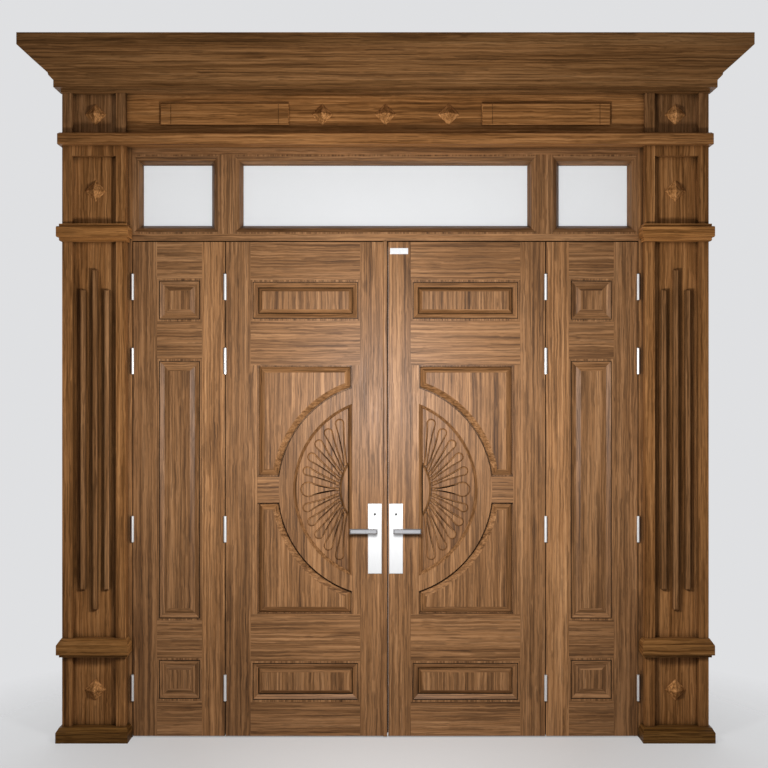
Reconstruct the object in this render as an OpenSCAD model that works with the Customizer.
// Four-leaf timber entrance door with a glazed transom, reeded pilasters and a crown cornice.
// Millimetres, Z up, the street side faces -Y. The origin is on the floor, in the middle of the
// door's whole width and depth. Inside the modules y = 0 is the street face of the closed leaves
// and y grows inward; at_face() moves a finished piece to its place. Paired pieces are drawn on
// the right, where x is positive, and side(-1) mirrors them to the left.

/* [Leaves] */
// Width of a main leaf, from its hinged edge to the seam
main_leaf_w = 712; // [690:1:760]
// Width of a side leaf
side_leaf_w = 416; // [380:1:460]
// Height of the four leaves
leaf_h = 2243; // [2180:1:2350]
// Thickness of the leaves
leaf_t = 64; // [56:1:68]
// Gap between the floor and the leaves
floor_gap = 6; // [4:1:12]
// Gap between the leaves and the transom bar
top_gap = 5; // [4:0.5:8]
// Gap between two hinged edges
hinge_gap = 4; // [3:0.5:5]
// Gap between the right main leaf and the meeting strip
seam_gap = 5; // [5:0.5:7]
// Space between the two meeting edges, behind the strip
latch_space = 13; // [12:0.5:16]

/* [Side leaf layout] */
// Width of the stile on the jamb side
side_hinge_stile_w = 108; // [90:1:125]
// Width of the stile next to the main leaf
side_meet_stile_w = 104; // [90:1:125]
// Height of the bottom rail
side_bottom_rail_h = 159; // [120:1:200]
// Height of the top rail
side_top_rail_h = 166; // [120:1:200]
// Height of the two rails between the panels
side_rail_h = 170; // [130:1:210]
// Height of the opening for a short panel
short_panel_h = 195; // [170:1:230]

/* [Main leaf layout] */
// Width of the hinge stile at its ends
hinge_stile_w = 113; // [95:1:125]
// Width of the hinge stile beside the round panel
hinge_stile_wide = 144; // [130:1:155]
// Distance from the door's axis to the edge of the lock stile at its ends
lock_stile_x = 115; // [105:1:130]
// Height of the bottom rail
bottom_rail_h = 154; // [120:1:190]
// Height of the top rail
top_rail_h = 172; // [130:1:200]
// Height of the lower cross rail
lower_cross_rail_h = 213; // [160:1:235]
// Height of the upper cross rail
upper_cross_rail_h = 202; // [160:1:225]
// Height of the opening for a small panel
small_panel_h = 186; // [160:1:200]
// Height left between the arch ring and a cross rail
ring_clear = 80; // [65:1:100]
// Height of the short rail that ties the arch ring to the hinge stile
tie_rail_h = 118; // [90:1:150]
// Length of the tie rail at its narrowest
tie_rail_l = 96; // [80:1:120]

/* [Arch ring, as shares of its radius] */
// Share for the width of the ring, with its bevelled inner edge
ring_w_share = 0.163; // [0.15:0.001:0.18]
// Share for the width of the bevel on the ring's inner edge
ring_bevel_share = 0.0268; // [0.02:0.0001:0.035]
// Share for the distance from the door's axis to the lock stile's edge beside the fan
lock_wide_share = 0.3134; // [0.29:0.0001:0.33]
// Share for the width of the moulding on the lock stile beside the fan
fan_mould_share = 0.0392; // [0.03:0.0001:0.042]

/* [Panels] */
// Thickness of a panel where it stands in its groove
web_t = 14; // [12:1:16]
// Depth to which a panel stands in its groove
tongue = 9; // [6:1:12]
// Flat border of a moulded panel, next to its frame
border_w = 9; // [6:1:12]
// Width of the groove inside the border
quirk_w = 4; // [3:0.5:6]
// Depth of the groove inside the border
quirk_d = 9; // [6:0.5:12]
// Width of the slope from the groove down to the foot of the raised field
slope_w = 20; // [16:1:24]
// Depth at which the slope starts
slope_top_d = 2; // [1:0.5:4]
// Depth at which the slope ends in a small panel
slope_foot_d = 14; // [10:0.5:18]
// Depth at which the slope ends in a side panel
side_foot_d = 8; // [6:0.5:12]
// Width of the bevel round the field of a small panel
bevel_w = 19; // [15:1:24]
// Width of the bevel round the field of a side panel
side_bevel_w = 22; // [18:1:26]
// Width of the bevel round the field of a quarter panel
quarter_bevel_w = 27; // [22:1:32]
// Sunk margin round the field of a quarter panel
quarter_margin = 6; // [4:0.5:10]
// Height of the small step at the foot of a bevel
step_h = 2; // [1:0.5:4]
// Depth of a raised field behind the leaf's face
field_d = 3; // [2:0.5:5]

/* [Fan carving, widths as shares of the ring's radius] */
// Number of petals, an odd number
petal_count = 11; // [9:2:11]
// Angle between the feet of two petals, in degrees
foot_angle = 6.2; // [5.6:0.1:6.3]
// Angle between the tips of two petals, in degrees
tip_angle = 10.5; // [10:0.1:10.8]
// Angle between the tips of the middle petal and the next one, in degrees
first_tip_angle = 13.2; // [12.6:0.1:14]
// Share for the distance from the arch ring to the petals' tips
petal_margin_share = 0.0371; // [0.03:0.0001:0.06]
// Share for the length of the petals from the hub to their tips
petal_l_share = 0.365; // [0.34:0.001:0.385]
// Share for half the width of a petal near its tip
petal_w_share = 0.0454; // [0.042:0.0001:0.049]
// Share for half the width of the middle petal near its tip
middle_petal_share = 0.0742; // [0.066:0.0001:0.078]
// Share for half the width of a petal at the hub
petal_foot_share = 0.0186; // [0.0165:0.0001:0.02]
// Width of the sloping edge of a petal
petal_edge_w = 3; // [2:0.5:4]
// Height of a petal's edge above the panel
petal_edge_h = 8; // [5:0.5:10]
// Height of a petal's back above its edge
petal_crown_h = 3; // [1:0.5:4]
// Height of the hub above the panel
hub_h = 12; // [8:0.5:15]

/* [Hinges] */
// Length of a closed hinge
hinge_l = 118; // [100:1:130]
// Radius of the barrel
barrel_r = 7; // [6:0.25:7.5]
// Radius of the pin
pin_r = 4; // [3:0.25:4.5]
// Distance of the pin's axis before the leaf's face
axis_out = 8; // [8:0.25:10]
// Thickness of a hinge plate
plate_leaf_t = 3; // [2:0.25:3.5]
// Depth of a hinge plate in the edge
plate_leaf_d = 30; // [24:1:35]
// Height of the lowest hinge's middle above the leaf's foot
hinge_low = 220; // [180:1:260]
// Height of the second hinge's middle above the leaf's foot
hinge_second = 940; // [800:1:1000]
// Distance of the third hinge's middle from the leaf's top
hinge_third = 541; // [480:1:640]
// Distance of the highest hinge's middle from the leaf's top
hinge_top = 205; // [180:1:260]

/* [Lock] */
// Distance of the lever's spindle from the door's axis
spindle_x = 48; // [46:1:52]
// Height of the lever's spindle above the floor
spindle_z = 939; // [900:1:1000]
// Radius of the spindle
spindle_r = 5; // [4:0.25:6]
// Width of a lock plate
lock_plate_w = 63; // [50:1:66]
// Height of a lock plate
lock_plate_h = 318; // [280:1:340]
// Height of a lock plate's foot below the spindle
lock_plate_drop = 196; // [170:1:210]
// Thickness of a lock plate
lock_plate_t = 4; // [3:0.5:6]
// Height of the keyhole above the spindle
keyhole_up = 74; // [66:1:90]
// Length of a lever beyond the spindle
lever_l = 113; // [95:1:125]
// Height of a lever's bar
lever_h = 24; // [18:1:26]
// Thickness of a lever's bar
lever_t = 14; // [10:1:18]
// Distance between a lever's bar and the leaf
lever_gap = 44; // [40:1:55]
// Bevel along the edges of a lever's bar
lever_bevel = 4.5; // [2:0.5:6]
// Thickness of the lock case
case_t = 16; // [16:1:20]
// Depth of the lock case in the stile
case_d = 88; // [84:1:90]
// Height of the lock case
case_h = 190; // [170:1:220]
// Height of the latch's middle above the spindle
latch_up = 29; // [26:1:34]
// Height of the latch
latch_h = 22; // [18:1:26]
// Thickness of the latch
latch_t = 12; // [9:0.5:12]

/* [Meeting strip] */
// Width of the meeting strip
strip_w = 18; // [16:1:24]
// Reach of the strip past the door's axis
strip_reach = 8; // [7:0.5:10]
// Height of the strip before the leaves
strip_out = 8; // [5:1:12]

/* [Frame] */
// Depth of the frame from the leaves' face
frame_d = 122; // [110:1:140]
// Width of a jamb
jamb_w = 51; // [45:1:70]
// Part of a jamb that shows beside the pilaster
jamb_show = 19.5; // [19:0.5:24]
// Height of the transom bar
bar_h = 32; // [28:1:50]
// Height of the transom lights
light_h = 360; // [300:1:420]
// Part of the head rail that shows under the architrave
head_show = 31; // [25:1:45]
// Width of a mullion
mullion_w = 60; // [50:1:80]
// Distance from the door's axis to a mullion's middle
mullion_x = 722; // [680:1:760]
// Thickness of the glass
glass_t = 8; // [6:1:10]
// Depth of the glass behind the frame's face
glass_y = 57; // [50:1:62]
// Reach of a door stop behind a leaf
stop_w = 19; // [15:1:25]
// Depth of a door stop
stop_d = 25; // [20:1:30]
// Radius of the fixing holes in the jambs
fix_hole_r = 5; // [4:0.5:7]
// Height of the lower fixing hole
fix_hole_z = 400; // [300:1:500]
// Distance between the fixing holes of a jamb
fix_hole_pitch = 1500; // [1300:1:1700]

/* [Pilasters] */
// Width of a pilaster
pil_w = 286.5; // [260:0.5:310]
// Thickness of a pilaster before the frame
pil_d = 55; // [50:1:65]
// Width of the raised edges of a pilaster
pil_edge_w = 45; // [38:1:50]
// Depth of the sunk field between the raised edges
pil_sunk = 36; // [30:1:40]
// Height of the plinth
plinth_h = 63; // [55:1:80]
// Height of the pedestal block
pedestal_h = 315; // [280:1:350]
// Height of the band on the pedestal
pedestal_band_h = 82; // [70:1:95]
// Height of the capital band
capital_h = 78; // [70:1:95]
// Depth of the capital band's foot below the transom bar
capital_drop = 9; // [4:1:20]
// Height of the rail at the top of the upper block
upper_rail_h = 46; // [35:1:60]
// Width of a reed
reed_w = 24; // [18:1:28]
// Height of a reed above the sunk field
reed_h = 28; // [20:1:30]
// Distance between two reeds, middle to middle
reed_pitch = 54; // [46:1:60]
// Distance from the shaft's ends to the outer reeds' ends
reed_end = 216; // [180:1:260]
// Distance from the shaft's ends to the middle reed's ends
middle_reed_end = 125; // [90:1:160]

/* [Bands and plinths] */
// Projection of the plinth before the pilaster
plinth_out = 55; // [45:1:60]
// Projection of the bands before the pilaster
band_out = 45; // [38:1:52]
// Projection of the plinth and the bands beside the pilaster
band_side = 18; // [14:1:19]
// Projection of the bands' small members before the pilaster
neck_out = 24; // [18:1:30]
// Projection of the bands' small members beside the pilaster
neck_side = 9; // [6:1:12]
// Height of the slope on the plinth
plinth_slope_h = 14; // [10:1:20]
// Projection of the top of the plinth's slope
plinth_top_out = 25; // [15:1:30]
// Height of the small member under the pedestal band
pedestal_neck_h = 13; // [8:1:18]
// Height of the slope on the pedestal band
pedestal_slope_h = 22; // [15:1:30]
// Projection of the top of the pedestal band's slope
pedestal_top_out = 12; // [8:1:20]
// Height of the small member under the capital band
capital_neck_h = 17; // [12:1:22]
// Height of the small member on the capital band
capital_top_h = 13; // [9:1:18]

/* [Entablature] */
// Height of the architrave
architrave_h = 54; // [45:1:70]
// Projection of the architrave before the leaves' face
architrave_out = 97; // [85:1:105]
// Projection of the architrave beyond the pilasters
architrave_side = 13; // [8:1:18]
// Height of the slope on the architrave
architrave_slope_h = 7; // [5:1:12]
// Height of the frieze
frieze_h = 183; // [160:1:220]
// Thickness of the frieze board
frieze_d = 25; // [18:1:40]
// Distance from the door's axis to a raised pad's inner end
pad_x = 435; // [400:1:480]
// Length of a raised pad
pad_l = 581; // [520:1:640]
// Height of a raised pad
pad_h = 97; // [80:1:120]
// Thickness of a raised pad
pad_t = 17; // [10:1:20]
// Distance between the bosses on the frieze
frieze_boss_pitch = 286; // [240:1:320]
// Half the diagonal of a boss
boss_half = 49; // [40:1:55]
// Height of a boss
boss_h = 18; // [12:1:25]
// Height of the cornice
cornice_h = 227; // [200:1:260]
// Projection of the cornice before the leaves' face
cornice_out = 235; // [200:1:260]
// Projection of the cornice beyond the pilasters
cornice_side = 158; // [130:1:180]
// Depth of the cornice behind the leaves' face
cornice_back = 45; // [20:1:80]
// Height of the cornice's bed
cornice_bed_h = 16; // [10:1:24]
// Projection of the cornice's bed before and beside the pilasters
cornice_bed_out = 5; // [3:1:10]
// Height of the cornice's lower fillet
cornice_fillet_h = 31; // [24:1:38]
// Height of the bead on the lower fillet
cornice_bead_h = 19; // [14:1:24]
// Projection of the bead before the lower fillet
cornice_bead_out = 18; // [12:1:22]
// Height of the upper fillet
cornice_lip_h = 12; // [8:1:16]
// Projection of the upper fillet before the bead
cornice_lip_out = 3; // [2:1:6]
// Distance that the cornice's slope runs out from the lower fillet
cornice_run = 130; // [110:1:140]
// Height of the cornice's upright face
cornice_face_h = 52; // [40:1:65]

/* [Hidden] */
$fn = 64;
timber = "#7a4a26";
timber_dark = "#5f3a1e";
timber_light = "#94613a";
metal = "#d9dadb";
glass = "#cfd8dc";

// Clearances
play = 0.3;
running_play = 0.05;
knuckle_gap = 0.5;
stop_gap = 2;
keep_gap = 2;
joint_gap = 0.5;
eps = 0.01;

// Places across the door, on the right half
seam_x = strip_reach + seam_gap;
main_x1 = seam_x + main_leaf_w;
main_axis_x = main_x1 + hinge_gap / 2;
side_x0 = main_axis_x + hinge_gap / 2;
side_x1 = side_x0 + side_leaf_w;
side_axis_x = side_x1 + hinge_gap / 2;
jamb_x = side_axis_x + hinge_gap / 2;
pil_x0 = jamb_x + jamb_show;
pil_x1 = pil_x0 + pil_w;
pil_mid_x = (pil_x0 + pil_x1) / 2;
side_panel_x0 = side_x0 + side_meet_stile_w;
side_panel_x1 = side_x1 - side_hinge_stile_w;
hinge_stile_x = main_x1 - hinge_stile_w;
hinge_stile_wide_x = main_x1 - hinge_stile_wide;
light_x0 = mullion_x + mullion_w / 2;
light_x1 = mullion_x - mullion_w / 2;
function meeting_x(s) = s < 0 ? latch_space - seam_x : seam_x;

// Heights
leaf_z0 = floor_gap;
leaf_z1 = leaf_z0 + leaf_h;
bar_z = leaf_z1 + top_gap;
light_z0 = bar_z + bar_h;
light_z1 = light_z0 + light_h;
architrave_z = light_z1 + head_show;
frieze_z = architrave_z + architrave_h;
cornice_z = frieze_z + frieze_h;
pedestal_z1 = plinth_h + pedestal_h;
shaft_z0 = pedestal_z1 + pedestal_band_h;
capital_z = bar_z - capital_drop;
upper_z = capital_z + capital_h;
hinge_zs = [leaf_z0 + hinge_low, leaf_z0 + hinge_second, leaf_z1 - hinge_third, leaf_z1 - hinge_top];

// Openings for the panels: [x0, x1, z0, z1]
side_short_z1 = leaf_z0 + side_bottom_rail_h + short_panel_h;
side_long_z1 = leaf_z1 - side_top_rail_h - short_panel_h - side_rail_h;
side_panels_r = [
  [side_panel_x0, side_panel_x1, leaf_z0 + side_bottom_rail_h, side_short_z1],
  [side_panel_x0, side_panel_x1, side_short_z1 + side_rail_h, side_long_z1],
  [side_panel_x0, side_panel_x1, side_long_z1 + side_rail_h, leaf_z1 - side_top_rail_h],
];
low_panel_z = leaf_z0 + bottom_rail_h;
high_panel_z = leaf_z1 - top_rail_h - small_panel_h;
small_panels_r = [
  [lock_stile_x, hinge_stile_x, low_panel_z, low_panel_z + small_panel_h],
  [lock_stile_x, hinge_stile_x, high_panel_z, high_panel_z + small_panel_h],
];
round_z0 = low_panel_z + small_panel_h + lower_cross_rail_h;
round_z1 = high_panel_z - upper_cross_rail_h;
ring_z = (round_z0 + round_z1) / 2;
ring_r = round(min(hinge_stile_wide_x - tie_rail_l, (round_z1 - round_z0) / 2 - ring_clear));
ring_in_r = round(ring_r * (1 - ring_w_share));
ring_bevel_w = round(ring_bevel_share * ring_r);
lock_stile_wide_x = round(lock_wide_share * ring_r);
fan_mould_w = round(fan_mould_share * ring_r);
fan_x = lock_stile_wide_x + fan_mould_w;
petal_tip_r = round(ring_in_r - petal_margin_share * ring_r);
hub_r = round(petal_tip_r - petal_l_share * ring_r);
petal_half_w = round(petal_w_share * ring_r);
middle_petal_half_w = round(middle_petal_share * ring_r);
petal_foot_half_w = round(petal_foot_share * ring_r);
foot_gap = 1;
quarter_panels_r = [
  [lock_stile_wide_x, hinge_stile_wide_x, round_z0, ring_z - tie_rail_h / 2],
  [lock_stile_wide_x, hinge_stile_wide_x, ring_z + tie_rail_h / 2, round_z1],
];
mould_step = 0.3;

// Depths
web_y = (leaf_t - web_t) / 2;
border_d = 0.5;
ring_bevel_d = web_y - 2;
face_y = (cornice_out - frame_d) / 2;
field_y = -(pil_d - pil_sunk);
lock_y = leaf_t / 2;
stop_y = leaf_t + stop_gap;
fix_hole_y = (stop_y + stop_d + frame_d) / 2;

// Lock details
forend_t = 3;
forend_w = 22;
forend_over = 30;
latch_l = 60;
latch_throw = latch_space - keep_gap;
case_z = spindle_z + latch_up / 2 - case_h / 2;
neck_r = 9;
keyhole_r = 3.5;
keyhole_slot_w = 3;
keyhole_slot_l = 9;
plate_bevel = 1.5;

// Glazing bead, counted from the edge of the light: flat rim, slope, steep inner face
bead_rim = 8;
bead_slope_w = 19;
bead_slope_d = 16;
bead_w = 42;
bead_back_d = 20;
pane_play = 3;
bead_front = [
  [0, 0],
  [bead_rim, 0],
  [bead_rim + bead_slope_w, bead_slope_d],
  [bead_w, glass_y],
  [0, glass_y],
];
bead_back = [
  [0, glass_y + glass_t],
  [bead_w, glass_y + glass_t],
  [bead_rim, glass_y + glass_t + bead_back_d],
  [0, glass_y + glass_t + bead_back_d],
];
light_rs = [
  [-jamb_x, -light_x0, light_z0, light_z1],
  [-light_x1, light_x1, light_z0, light_z1],
  [light_x0, jamb_x, light_z0, light_z1],
];

// Small arris on the plinths and bands
arris = 4;
arris_side = 2;

// Helpers

module at_face() {
  translate([0, face_y, 0]) children();
}

module side(s) {
  if (s < 0) {
    mirror([1, 0, 0]) children();
  } else {
    children();
  }
}

// Repeats its children on the inner face of a leaf
module both_faces() {
  children();
  translate([0, leaf_t, 0]) mirror([0, 1, 0]) children();
}

module slab(x0, x1, y0, y1, z0, z1) {
  translate([x0, y0, z0]) cube([x1 - x0, y1 - y0, z1 - z0]);
}

function grown(r, d) = [r[0] - d, r[1] + d, r[2] - d, r[3] + d];

// Slab over an outline r = [x0, x1, z0, z1], between two depths
module sheet(r, y0, y1) {
  slab(r[0], r[1], y0, y1, r[2], r[3]);
}

// Extrudes an outline in x and z from depth y0 to depth y1
module upright(y0, y1) {
  translate([0, y1, 0]) rotate([90, 0, 0]) linear_extrude(y1 - y0) children();
}

// Extrudes an outline in y and z along the width, from x0 to x1
module across(x0, x1) {
  translate([x0, 0, 0]) rotate([90, 0, 90]) linear_extrude(x1 - x0) children();
}

// Round bar along the depth, from y0 to y1
module round_bar(x, z, r, y0, y1) {
  translate([x, y1, z]) rotate([90, 0, 0]) cylinder(h = y1 - y0, r = r);
}

// Block with four alike sides over the outline r. Each row of the profile gives [depth, distance
// inside the outline], from the back to the front.
module profiled_block(r, profile) {
  last = len(profile) - 1;
  intersection() {
    translate([0, 0, r[2]])
      linear_extrude(r[3] - r[2])
        polygon(concat(
          [for (p = profile) [r[0] + p[1], p[0]]],
          [for (i = [last:-1:0]) [r[1] - profile[i][1], profile[i][0]]]
        ));
    across(r[0], r[1])
      polygon(concat(
        [for (p = profile) [p[0], r[2] + p[1]]],
        [for (i = [last:-1:0]) [profile[i][0], r[3] - profile[i][1]]]
      ));
  }
}

// Block with four sloping sides. Its base lies at depth y, i0 inside the outline r, and its
// front stands h before the base, i1 inside the outline.
module sloped_block(r, y, h, i0, i1) {
  profiled_block(r, [[y, i0], [y - h, i1]]);
}

// Moulding mitred round three sides of a block from x0 to x1. Each row of the profile gives
// [height, projection to the front, projection to the sides], and the back is flat.
module moulded_block(x0, x1, z, back, profile) {
  last = len(profile) - 1;
  reach_front = max([for (p = profile) p[1]]);
  reach_side = max([for (p = profile) p[2]]);
  intersection() {
    across(x0 - reach_side, x1 + reach_side)
      polygon(concat(
        [[back, z + profile[0][0]]],
        [for (p = profile) [-p[1], z + p[0]]],
        [[back, z + profile[last][0]]]
      ));
    upright(-reach_front, back)
      polygon(concat(
        [for (p = profile) [x0 - p[2], z + p[0]]],
        [for (i = [last:-1:0]) [x1 + profile[i][2], z + profile[i][0]]]
      ));
  }
}

// Facade

module plinth() {
  out = pil_d + plinth_out;
  slope_z = plinth_h - plinth_slope_h;
  moulded_block(pil_x0, pil_x1, 0, 0, [
    [0, out, band_side],
    [slope_z - arris, out, band_side],
    [slope_z, out - arris, band_side - arris_side],
    [plinth_h, pil_d + plinth_top_out, neck_side],
  ]);
}

module pedestal_band() {
  out = pil_d + band_out;
  slope_z = pedestal_band_h - pedestal_slope_h;
  moulded_block(pil_x0, pil_x1, pedestal_z1, 0, [
    [0, pil_d + neck_out, neck_side],
    [pedestal_neck_h, pil_d + neck_out, neck_side],
    [pedestal_neck_h, out, band_side],
    [slope_z - arris, out, band_side],
    [slope_z, out - arris, band_side - arris_side],
    [pedestal_band_h, pil_d + pedestal_top_out, arris_side],
  ]);
}

module capital_band() {
  out = pil_d + band_out;
  top_z = capital_h - capital_top_h;
  moulded_block(pil_x0, pil_x1, capital_z, 0, [
    [0, pil_d + neck_out - 2 * arris, neck_side - 2 * arris_side],
    [arris, pil_d + neck_out, neck_side],
    [capital_neck_h, pil_d + neck_out, neck_side],
    [capital_neck_h, out - arris, band_side - arris_side],
    [capital_neck_h + arris, out, band_side],
    [top_z - arris, out, band_side],
    [top_z, out - arris, band_side - arris_side],
    [top_z, pil_d + neck_out, neck_side],
    [capital_h, pil_d + neck_out, neck_side],
  ]);
}

// Block of a pilaster with raised edges; rail is the height of a rail across its top
module pilaster_block(z0, z1, rail) {
  difference() {
    slab(pil_x0, pil_x1, -pil_d, 0, z0, z1);
    slab(pil_x0 + pil_edge_w, pil_x1 - pil_edge_w, -pil_d - 1, field_y,
      z0 - 1, rail > 0 ? z1 - rail : z1 + 1);
  }
}

module pilaster() {
  pilaster_block(plinth_h, pedestal_z1, 0);
  pilaster_block(shaft_z0, capital_z, 0);
  pilaster_block(upper_z, architrave_z, upper_rail_h);
}

module reeds() {
  reed_bevel = 5;
  for (i = [-1:1]) {
    end = i == 0 ? middle_reed_end : reed_end;
    x = pil_mid_x + i * reed_pitch;
    r = [x - reed_w / 2, x + reed_w / 2, shaft_z0 + end, capital_z - end];
    sheet(r, field_y - reed_h + reed_bevel, field_y);
    sloped_block(r, field_y - reed_h + reed_bevel, reed_bevel, 0, reed_bevel);
  }
}

// Low pyramid on a square that stands on its corner
module boss(x, y, z) {
  half = boss_half / sqrt(2);
  tip = 1;
  translate([x, y, z])
    rotate([0, 45, 0])
      sloped_block([-half, half, -half, half], 0, boss_h, 0, half - tip);
}

module side_bosses() {
  boss(pil_mid_x, field_y, (plinth_h + pedestal_z1) / 2);
  boss(pil_mid_x, field_y, (upper_z + architrave_z - upper_rail_h) / 2);
  boss(pil_mid_x, field_y, frieze_z + frieze_h / 2);
}

module pad() {
  pad_bevel = 4;
  line_in = 48;
  line_w = 3;
  z = frieze_z + frieze_h / 2;
  front_y = -frieze_d - pad_t;
  r = [pad_x, pad_x + pad_l, z - pad_h / 2, z + pad_h / 2];
  difference() {
    union() {
      sheet(r, front_y + pad_bevel, -frieze_d + eps);
      sloped_block(r, front_y + pad_bevel, pad_bevel, 0, pad_bevel);
    }
    for (x = [r[0] + line_in, r[1] - line_in]) {
      slab(x - line_w / 2, x + line_w / 2, front_y - 1, front_y + line_w, r[2] - 1, r[3] + 1);
    }
  }
}

// Frame

module jamb() {
  difference() {
    slab(jamb_x, jamb_x + jamb_w, 0, frame_d, 0, frieze_z);
    plate_pockets(side_axis_x, 1);
    for (z = [fix_hole_z, fix_hole_z + fix_hole_pitch]) {
      translate([jamb_x - 1, fix_hole_y, z])
        rotate([0, 90, 0])
          cylinder(h = jamb_w + 2, r = fix_hole_r);
    }
  }
}

// One mitred bead of length l, hanging from the edge z = 0
module bead(l, section) {
  half = l / 2 - joint_gap / 2;
  intersection() {
    across(-l / 2, l / 2) polygon([for (p = section) [p[1], -p[0]]]);
    upright(-1, glass_y + glass_t + bead_back_d + 1)
      polygon([[-half, 0], [half, 0], [half - bead_w, -bead_w], [bead_w - half, -bead_w]]);
  }
}

module bead_ring(r, section) {
  w = r[1] - r[0];
  h = r[3] - r[2];
  translate([(r[0] + r[1]) / 2, 0, (r[2] + r[3]) / 2]) {
    for (turn = [0, 180]) {
      rotate([0, turn, 0]) translate([0, 0, h / 2]) bead(w, section);
      rotate([0, turn + 90, 0]) translate([0, 0, w / 2]) bead(h, section);
    }
  }
}

// Hinges: the lower half has the pin and its plate lies on the frame side, towards +x; the upper
// half is bored and its plate lies on the leaf side

module lower_half(x, z) {
  plate_x = x + hinge_gap / 2;
  translate([x, -axis_out, z - hinge_l / 2]) cylinder(h = (hinge_l - knuckle_gap) / 2, r = barrel_r);
  translate([x, -axis_out, z - hinge_l / 2]) cylinder(h = hinge_l - barrel_r, r = pin_r);
  slab(plate_x, plate_x + plate_leaf_t, 0, plate_leaf_d, z - hinge_l / 2, z + hinge_l / 2);
  slab(plate_x, plate_x + plate_leaf_t, -axis_out, eps, z - hinge_l / 2, z - knuckle_gap / 2);
}

module upper_half(x, z) {
  plate_x = x - hinge_gap / 2;
  difference() {
    union() {
      translate([x, -axis_out, z + knuckle_gap / 2])
        cylinder(h = (hinge_l - knuckle_gap) / 2, r = barrel_r);
      slab(plate_x - plate_leaf_t, plate_x, 0, plate_leaf_d, z - hinge_l / 2, z + hinge_l / 2);
      slab(plate_x - plate_leaf_t, plate_x, -axis_out, eps, z + knuckle_gap / 2, z + hinge_l / 2);
    }
    translate([x, -axis_out, z])
      cylinder(h = hinge_l / 2 - barrel_r + 2 * knuckle_gap, r = pin_r + running_play);
  }
}

// Pockets for the hinge plates in the edge next to a pin's axis; dir is 1 on its outer side
module plate_pockets(x, dir) {
  near = x + dir * (hinge_gap / 2 - 1);
  far = x + dir * (hinge_gap / 2 + plate_leaf_t + play);
  for (z = hinge_zs) {
    slab(min(near, far), max(near, far), -1, plate_leaf_d + play,
      z - hinge_l / 2 - play, z + hinge_l / 2 + play);
  }
}

// Side leaf

module grooves(rs) {
  for (r = rs) {
    sheet(grown(r, tongue + play), web_y - play, leaf_t - web_y + play);
  }
}

module side_hinge_stile() {
  difference() {
    slab(side_panel_x1, side_x1, 0, leaf_t, leaf_z0, leaf_z1);
    grooves(side_panels_r);
    plate_pockets(side_axis_x, -1);
  }
}

module side_meeting_stile() {
  difference() {
    slab(side_x0, side_panel_x0, 0, leaf_t, leaf_z0, leaf_z1);
    grooves(side_panels_r);
    plate_pockets(main_axis_x, 1);
  }
}

module side_rails() {
  r = side_panels_r;
  difference() {
    for (z = [[leaf_z0, r[0][2]], [r[0][3], r[1][2]], [r[1][3], r[2][2]], [r[2][3], leaf_z1]]) {
      slab(side_panel_x0, side_panel_x1, 0, leaf_t, z[0], z[1]);
    }
    grooves(side_panels_r);
  }
}

module web(r) {
  sheet(grown(r, tongue), web_y, leaf_t - web_y);
}

// Raised field that fills the outline r: upright sides up to foot_d, then a bevel up to the flat
module raised_field(r, foot_d, w) {
  profiled_block(r, [[web_y + eps, 0], [foot_d, 0], [field_d, w]]);
}

// Moulding that fills the edge of the outline r: a flat border, a groove, and a slope down to foot_d
module moulding(r, foot_d) {
  groove_in = border_w + quirk_w;
  foot_in = groove_in + slope_w;
  difference() {
    sheet(grown(r, -play), border_d, web_y + eps);
    profiled_block(r, [
      [web_y + 1, foot_in],
      [foot_d, foot_in],
      [slope_top_d, groove_in],
      [-1, groove_in],
    ]);
    difference() {
      sheet(grown(r, -border_w), -1, quirk_d);
      sheet(grown(r, -groove_in), -2, quirk_d + 1);
    }
  }
}

// Panels with a moulding round a raised field, alike on both faces
module moulded_panels(rs, slope_foot, field_foot, w) {
  for (r = rs) {
    web(r);
    both_faces() {
      moulding(r, slope_foot);
      raised_field(grown(r, -border_w - quirk_w - slope_w), field_foot, w);
    }
  }
}

module side_panels() {
  moulded_panels(side_panels_r, side_foot_d, side_foot_d + step_h, side_bevel_w);
}

module side_hinges() {
  for (z = hinge_zs) {
    upper_half(side_axis_x, z);
    lower_half(main_axis_x, z);
  }
}

// Main leaf

// Outline of a stile whose edge stands at x_end, and at x_mid beside the round panel
module stile_outline(x_edge, x_end, x_mid) {
  polygon([
    [x_edge, leaf_z0],
    [x_edge, leaf_z1],
    [x_end, leaf_z1],
    [x_end, round_z1],
    [x_mid, round_z1],
    [x_mid, round_z0],
    [x_end, round_z0],
    [x_end, leaf_z0],
  ]);
}

// Plate of a quarter panel, grown by d into the timber round it
module quarter_web(r, d, y) {
  difference() {
    sheet(grown(r, d), y, leaf_t - y);
    round_bar(0, ring_z, ring_r - d, y - 1, leaf_t - y + 1);
  }
}

// Plate of the fan panel, grown by d into the timber round it
module fan_web(d, y) {
  intersection() {
    round_bar(0, ring_z, ring_in_r + d, y, leaf_t - y);
    slab(lock_stile_wide_x - d, ring_r, y - 1, leaf_t - y + 1, ring_z - ring_r, ring_z + ring_r);
  }
}

module main_grooves() {
  grooves(small_panels_r);
  for (r = quarter_panels_r) {
    quarter_web(r, tongue + play, web_y - play);
  }
  fan_web(tongue + play, web_y - play);
}

module hinge_stile() {
  difference() {
    upright(0, leaf_t) stile_outline(main_x1, hinge_stile_x, hinge_stile_wide_x);
    main_grooves();
    plate_pockets(main_axis_x, -1);
  }
}

module lock_stile(s) {
  difference() {
    union() {
      upright(0, leaf_t) stile_outline(meeting_x(s), lock_stile_x, lock_stile_wide_x);
      both_faces() fan_moulding();
    }
    main_grooves();
    lock_body(s, play);
    round_bar(spindle_x, spindle_z, neck_r, -1, leaf_t + 1);
  }
}

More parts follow.
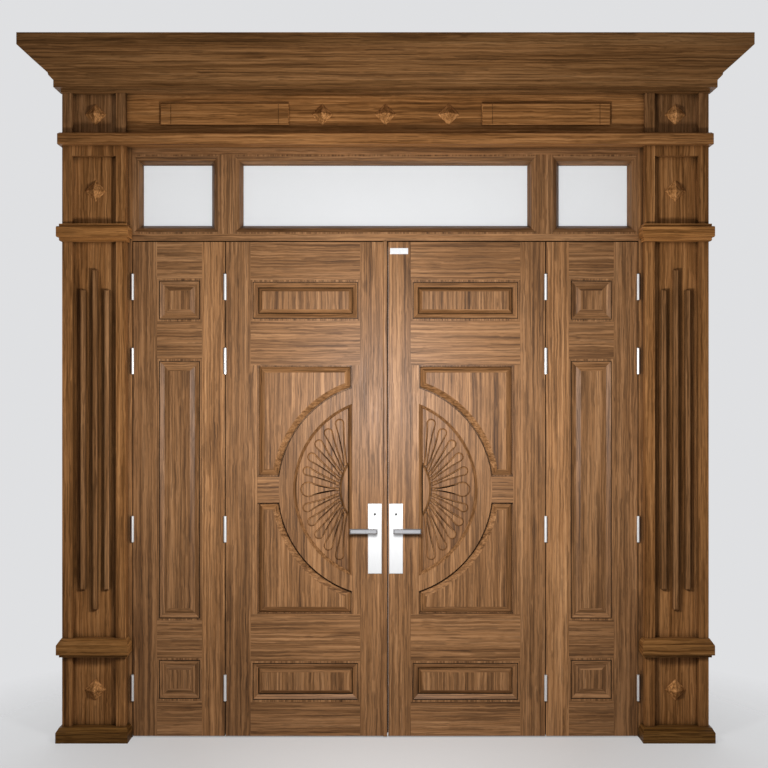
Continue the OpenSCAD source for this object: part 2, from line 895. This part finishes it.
// Moulding worked on the lock stile beside the fan, mitred to the arch ring's bevel
module fan_moulding() {
  brow_w = 0.45 * fan_mould_w;
  brow_d = 0.35 * web_y;
  intersection() {
    translate([0, 0, ring_z - ring_r])
      linear_extrude(2 * ring_r)
        polygon([
          [lock_stile_wide_x - 1, 0],
          [lock_stile_wide_x, 0],
          [lock_stile_wide_x + brow_w, brow_d],
          [fan_x, web_y],
          [lock_stile_wide_x - 1, web_y],
        ]);
    ring_void(mould_step);
  }
}

module main_rails() {
  low = small_panels_r[0];
  high = small_panels_r[1];
  difference() {
    union() {
      for (z = [[leaf_z0, low[2]], [low[3], round_z0], [round_z1, high[2]], [high[3], leaf_z1]]) {
        slab(lock_stile_x, hinge_stile_x, 0, leaf_t, z[0], z[1]);
      }
      difference() {
        slab(ring_in_r, hinge_stile_wide_x, 0, leaf_t, quarter_panels_r[0][3], quarter_panels_r[1][2]);
        round_bar(0, ring_z, ring_r, -1, leaf_t + 1);
      }
    }
    main_grooves();
  }
}

// Opening of the arch ring with its bevel on the street face, drawn in by d
module ring_void(d) {
  translate([0, 0, ring_z])
    rotate([-90, 0, 0]) {
      translate([0, 0, -1]) cylinder(h = leaf_t + 2, r = ring_in_r - d, $fn = 180);
      cylinder(h = ring_bevel_d, r1 = ring_in_r + ring_bevel_w - d, r2 = ring_in_r - d, $fn = 180);
    }
}

module arch_ring() {
  difference() {
    intersection() {
      round_bar(0, ring_z, ring_r, 0, leaf_t);
      slab(lock_stile_wide_x, ring_r + 1, -1, leaf_t + 1, ring_z - ring_r - 1, ring_z + ring_r + 1);
    }
    both_faces() ring_void(0);
    main_grooves();
  }
}

// Turned cutter that bevels a quarter panel's field along the arch ring
module arc_cutter() {
  foot_r = ring_r + quarter_margin;
  top_h = web_y - field_d;
  translate([0, web_y, ring_z])
    rotate([90, 0, 0])
      rotate_extrude($fn = 180)
        polygon([
          [0, -1],
          [foot_r, -1],
          [foot_r, step_h],
          [foot_r + quarter_bevel_w, top_h],
          [foot_r + quarter_bevel_w, top_h + 1],
          [0, top_h + 1],
        ]);
}

module quarter_panels() {
  for (r = quarter_panels_r) {
    quarter_web(r, tongue, web_y);
    both_faces() {
      difference() {
        raised_field(grown(r, -quarter_margin), web_y - step_h, quarter_bevel_w);
        arc_cutter();
      }
    }
  }
}

module small_panels() {
  moulded_panels(small_panels_r, slope_foot_d, web_y - step_h, bevel_w);
}

// Half of a petal's outline from its foot to its tip, drawn in by d. The petal lies along x, with a
// round tip of radius a whose middle is l from the foot, and a hollow side that runs into it.
function half_petal(a, l, d) =
  let (
    side_steps = 4,
    tip_steps = 5,
    hollow_r = (l * l + pow(petal_foot_half_w, 2) - a * a) / (2 * (a - petal_foot_half_w)),
    hollow_z = petal_foot_half_w + hollow_r,
    lean = atan2(l, hollow_z),
    turn = atan2(hollow_z, -l)
  )
  concat(
    [for (i = [0:side_steps]) let (t = lean * i / side_steps)
      [(hollow_r + d) * sin(t), hollow_z - (hollow_r + d) * cos(t)]],
    [for (i = [1:tip_steps]) let (t = turn * (1 - i / tip_steps))
      [l + (a - d) * cos(t), (a - d) * sin(t)]]
  );

function petal_ring(a, l, d, y) =
  let (half = half_petal(a, l, d), last = len(half) - 1)
  concat(
    [for (p = half) [p[0], y, p[1]]],
    [for (i = [last - 1:-1:0]) [half[i][0], y, -half[i][1]]]
  );

// Petal with a sloping edge and a slightly crowned back, sunk a little into the panel
module petal(a, l) {
  sunk = 1;
  crown_in = 0.5 * petal_foot_half_w;
  rings = [
    petal_ring(a, l, 0, sunk),
    petal_ring(a, l, petal_edge_w, -petal_edge_h),
    petal_ring(a, l, petal_edge_w + crown_in, -petal_edge_h - petal_crown_h),
  ];
  n = len(rings[0]);
  polyhedron(
    points = [for (r = rings) each r],
    faces = concat(
      [[for (i = [n - 1:-1:0]) i]],
      [for (k = [0:len(rings) - 2], i = [0:n - 1])
        [k * n + i, k * n + (i + 1) % n, (k + 1) * n + (i + 1) % n, (k + 1) * n + i]],
      [[for (i = [0:n - 1]) (len(rings) - 1) * n + i]]
    )
  );
}

// The petals spread: their tips stand at wider angles than their feet
module petals() {
  first = (petal_count - 1) / 2;
  for (i = [-first:first]) {
    a = i == 0 ? middle_petal_half_w : petal_half_w;
    tip_turn = sign(i) * (first_tip_angle + (abs(i) - 1) * tip_angle);
    foot = (hub_r + foot_gap) * [cos(i * foot_angle), sin(i * foot_angle)];
    tip = (petal_tip_r - a) * [cos(tip_turn), sin(tip_turn)];
    along = tip - foot;
    translate([foot[0], web_y, foot[1]])
      rotate([0, -atan2(along[1], along[0]), 0])
        petal(a, norm(along));
  }
}

module hub() {
  translate([0, web_y + 1, 0])
    rotate([90, 0, 0])
      cylinder(h = hub_h + 1, r1 = hub_r, r2 = hub_r - hub_h, $fn = 180);
}

module fan() {
  translate([0, 0, ring_z]) {
    petals();
    intersection() {
      hub();
      slab(fan_x, ring_in_r, -leaf_t, leaf_t, -ring_in_r, ring_in_r);
    }
  }
}

// The fan is alike above and below its middle, so its inner face is the street face turned over
module fan_panel() {
  fan_web(tongue, web_y);
  fan();
  translate([0, leaf_t, 2 * ring_z]) rotate([180, 0, 0]) fan();
}

module main_hinges() {
  for (z = hinge_zs) {
    upper_half(main_axis_x, z);
  }
}

// Outer form of the lock: case and forend, grown by d
module lock_body(s, d) {
  x = meeting_x(s);
  slab(x, x + forend_t + case_d + d, lock_y - case_t / 2 - d, lock_y + case_t / 2 + d,
    case_z - d, case_z + case_h + d);
  slab(x - (d > 0 ? 1 : 0), x + forend_t + d, lock_y - forend_w / 2 - d, lock_y + forend_w / 2 + d,
    case_z - forend_over - d, case_z + case_h + forend_over + d);
}

module lock_case(s) {
  x = meeting_x(s);
  latch_z = spindle_z + latch_up;
  channel_l = s < 0 ? latch_l + latch_throw : latch_throw + keep_gap;
  difference() {
    lock_body(s, 0);
    round_bar(spindle_x, spindle_z, spindle_r + running_play, 0, leaf_t);
    slab(x - 1, x + channel_l + play, lock_y - latch_t / 2 - play, lock_y + latch_t / 2 + play,
      latch_z - latch_h / 2 - play, latch_z + latch_h / 2 + play);
  }
}

// Sprung latch of the left leaf; its bevel faces inward, the way the leaf closes
module latch() {
  tip = meeting_x(-1) - latch_throw;
  nose = 9;
  nose_flat = 2;
  y0 = lock_y - latch_t / 2;
  y1 = lock_y + latch_t / 2;
  translate([0, 0, spindle_z + latch_up - latch_h / 2])
    linear_extrude(latch_h)
      polygon([
        [tip, y0],
        [meeting_x(-1) + latch_l, y0],
        [meeting_x(-1) + latch_l, y1],
        [tip + nose, y1],
        [tip, y0 + nose_flat],
      ]);
}

module lock_plates() {
  z0 = spindle_z - lock_plate_drop;
  key_z = spindle_z + keyhole_up;
  r = [spindle_x - lock_plate_w / 2, spindle_x + lock_plate_w / 2, z0, z0 + lock_plate_h];
  both_faces() {
    difference() {
      union() {
        sheet(r, plate_bevel - lock_plate_t, 0);
        sloped_block(r, plate_bevel - lock_plate_t, plate_bevel, 0, plate_bevel);
      }
      round_bar(spindle_x, spindle_z, spindle_r + play, -lock_plate_t - 1, 1);
      round_bar(spindle_x, key_z, keyhole_r, -lock_plate_t - 1, 1);
      slab(spindle_x - keyhole_slot_w / 2, spindle_x + keyhole_slot_w / 2, -lock_plate_t - 1, 1,
        key_z - keyhole_slot_l, key_z);
    }
  }
}

module lever() {
  r = [spindle_x - lever_h / 2, spindle_x + lever_l, spindle_z - lever_h / 2, spindle_z + lever_h / 2];
  round_bar(spindle_x, spindle_z, spindle_r, -lever_gap - 1, leaf_t + lever_gap + 1);
  both_faces() {
    round_bar(spindle_x, spindle_z, neck_r, -lever_gap - 1, -lock_plate_t - play);
    sheet(r, lever_bevel - lever_gap - lever_t, -lever_gap);
    sloped_block(r, lever_bevel - lever_gap - lever_t, lever_bevel, 0, lever_bevel);
  }
}

// Strip on the left leaf: a rounded cap before the seam and a tongue against the leaf's edge
module strip() {
  round_off = 3;
  tongue_d = 14;
  translate([0, 0, leaf_z0])
    linear_extrude(leaf_h + top_gap / 2)
      polygon([
        [-strip_reach, tongue_d],
        [-strip_reach, round_off - strip_out],
        [round_off - strip_reach, -strip_out],
        [strip_w - strip_reach - round_off, -strip_out],
        [strip_w - strip_reach, round_off - strip_out],
        [strip_w - strip_reach, 0],
        [meeting_x(-1), 0],
        [meeting_x(-1), tongue_d],
      ]);
}

// Pieces of the facade

module left_plinth() color(timber_dark) at_face() side(-1) plinth();
module right_plinth() color(timber_dark) at_face() side(1) plinth();
module left_pedestal_band() color(timber) at_face() side(-1) pedestal_band();
module right_pedestal_band() color(timber) at_face() side(1) pedestal_band();
module left_capital_band() color(timber) at_face() side(-1) capital_band();
module right_capital_band() color(timber) at_face() side(1) capital_band();
module left_pilaster() color(timber) at_face() side(-1) pilaster();
module right_pilaster() color(timber) at_face() side(1) pilaster();
module left_reeds() color(timber) at_face() side(-1) reeds();
module right_reeds() color(timber) at_face() side(1) reeds();

module bosses() {
  color(timber_light)
    at_face() {
      for (s = [-1, 1]) side(s) side_bosses();
      for (i = [-1:1]) boss(i * frieze_boss_pitch, -frieze_d, frieze_z + frieze_h / 2);
    }
}

module frieze_block() pilaster_block(frieze_z, cornice_z, 0);
module left_frieze_block() color(timber_dark) at_face() side(-1) frieze_block();
module right_frieze_block() color(timber_dark) at_face() side(1) frieze_block();

module frieze_board() {
  color(timber_dark)
    at_face() {
      slab(-pil_x0, pil_x0, -frieze_d, 0, frieze_z, cornice_z);
      for (s = [-1, 1]) side(s) pad();
    }
}

module architrave() {
  slope_z = architrave_h - architrave_slope_h;
  color(timber)
    at_face()
      moulded_block(-pil_x1, pil_x1, architrave_z, 0, [
        [0, architrave_out, architrave_side],
        [slope_z, architrave_out, architrave_side],
        [architrave_h, architrave_out - 2 * architrave_slope_h, architrave_side - architrave_slope_h],
      ]);
}

module cornice() {
  fillet_out = cornice_out - cornice_run;
  fillet_side = cornice_side - cornice_run;
  lip_in = cornice_bead_out + cornice_lip_out;
  fillet_z = cornice_bed_h + cornice_fillet_h;
  bead_z = fillet_z + cornice_bead_h;
  color(timber_dark)
    at_face()
      moulded_block(-pil_x1, pil_x1, cornice_z, cornice_back, [
        [0, pil_d + cornice_bed_out, cornice_bed_out],
        [cornice_bed_h, pil_d + cornice_bed_out, cornice_bed_out],
        [cornice_bed_h, fillet_out, fillet_side],
        [fillet_z, fillet_out, fillet_side],
        [bead_z, fillet_out + cornice_bead_out, fillet_side + cornice_bead_out],
        [bead_z + cornice_lip_h, fillet_out + lip_in, fillet_side + lip_in],
        [cornice_h - cornice_face_h, cornice_out, cornice_side],
        [cornice_h, cornice_out, cornice_side],
      ]);
}

// Pieces of the frame

module left_jamb() color(timber) at_face() side(-1) jamb();
module right_jamb() color(timber) at_face() side(1) jamb();

module head_rail() {
  color(timber) at_face() slab(-jamb_x, jamb_x, 0, frame_d, light_z1, frieze_z);
}

module transom_bar() {
  color(timber) at_face() slab(-jamb_x, jamb_x, 0, frame_d, bar_z, light_z0);
}

module mullions() {
  color(timber)
    at_face()
      for (s = [-1, 1]) side(s) slab(light_x1, light_x0, 0, frame_d, light_z0, light_z1);
}

module door_stops() {
  y1 = stop_y + stop_d;
  color(timber_dark)
    at_face() {
      for (s = [-1, 1]) side(s) slab(jamb_x - stop_w, jamb_x, stop_y, y1, 0, bar_z - stop_w - joint_gap);
      slab(-jamb_x, jamb_x, stop_y, y1, bar_z - stop_w, bar_z);
    }
}

module glass_panes() {
  color(glass)
    at_face()
      for (r = light_rs) sheet(grown(r, -pane_play), glass_y, glass_y + glass_t);
}

module glazing_beads() {
  color(timber_dark)
    at_face()
      for (r = light_rs) {
        bead_ring(r, bead_front);
        bead_ring(r, bead_back);
      }
}

module frame_hinges() {
  for (z = hinge_zs) lower_half(side_axis_x, z);
}
module left_frame_hinges() color(metal) at_face() side(-1) frame_hinges();
module right_frame_hinges() color(metal) at_face() side(1) frame_hinges();

// Pieces of the side leaves

module left_side_hinge_stile() color(timber) at_face() side(-1) side_hinge_stile();
module right_side_hinge_stile() color(timber) at_face() side(1) side_hinge_stile();
module left_side_meeting_stile() color(timber) at_face() side(-1) side_meeting_stile();
module right_side_meeting_stile() color(timber) at_face() side(1) side_meeting_stile();
module left_side_rails() color(timber) at_face() side(-1) side_rails();
module right_side_rails() color(timber) at_face() side(1) side_rails();
module left_side_panels() color(timber_light) at_face() side(-1) side_panels();
module right_side_panels() color(timber_light) at_face() side(1) side_panels();
module left_side_hinges() color(metal) at_face() side(-1) side_hinges();
module right_side_hinges() color(metal) at_face() side(1) side_hinges();

// Pieces of the main leaves

module left_hinge_stile() color(timber_light) at_face() side(-1) hinge_stile();
module right_hinge_stile() color(timber_light) at_face() side(1) hinge_stile();
module left_lock_stile() color(timber_light) at_face() side(-1) lock_stile(-1);
module right_lock_stile() color(timber_light) at_face() side(1) lock_stile(1);
module left_rails() color(timber) at_face() side(-1) main_rails();
module right_rails() color(timber) at_face() side(1) main_rails();
module left_arch_ring() color(timber_light) at_face() side(-1) arch_ring();
module right_arch_ring() color(timber_light) at_face() side(1) arch_ring();
module left_quarter_panels() color(timber_light) at_face() side(-1) quarter_panels();
module right_quarter_panels() color(timber_light) at_face() side(1) quarter_panels();
module left_small_panels() color(timber) at_face() side(-1) small_panels();
module right_small_panels() color(timber) at_face() side(1) small_panels();
module left_fan_panel() color(timber) at_face() translate([0, leaf_t, 0]) rotate([0, 0, 180]) fan_panel();
module right_fan_panel() color(timber) at_face() fan_panel();
module left_main_hinges() color(metal) at_face() side(-1) main_hinges();
module right_main_hinges() color(metal) at_face() side(1) main_hinges();
module left_lock_case() color(metal) at_face() side(-1) lock_case(-1);
module right_lock_case() color(metal) at_face() side(1) lock_case(1);
module left_lock_plates() color(metal) at_face() side(-1) lock_plates();
module right_lock_plates() color(metal) at_face() side(1) lock_plates();
module left_lever() color(metal) at_face() side(-1) lever();
module right_lever() color(metal) at_face() side(1) lever();
module left_latch() color(metal) at_face() side(-1) latch();
module meeting_strip() color(timber_light) at_face() side(-1) strip();

left_plinth();
right_plinth();
left_pedestal_band();
right_pedestal_band();
left_capital_band();
right_capital_band();
left_pilaster();
right_pilaster();
left_reeds();
right_reeds();
bosses();
left_frieze_block();
right_frieze_block();
frieze_board();
architrave();
cornice();
left_jamb();
right_jamb();
head_rail();
transom_bar();
mullions();
door_stops();
glass_panes();
glazing_beads();
left_frame_hinges();
right_frame_hinges();
left_side_hinge_stile();
left_side_meeting_stile();
left_side_rails();
left_side_panels();
left_side_hinges();
right_side_hinge_stile();
right_side_meeting_stile();
right_side_rails();
right_side_panels();
right_side_hinges();
left_hinge_stile();
left_lock_stile();
left_rails();
left_arch_ring();
left_quarter_panels();
left_small_panels();
left_fan_panel();
left_main_hinges();
left_lock_case();
left_lock_plates();
left_lever();
left_latch();
meeting_strip();
right_hinge_stile();
right_lock_stile();
right_rails();
right_arch_ring();
right_quarter_panels();
right_small_panels();
right_fan_panel();
right_main_hinges();
right_lock_case();
right_lock_plates();
right_lever();
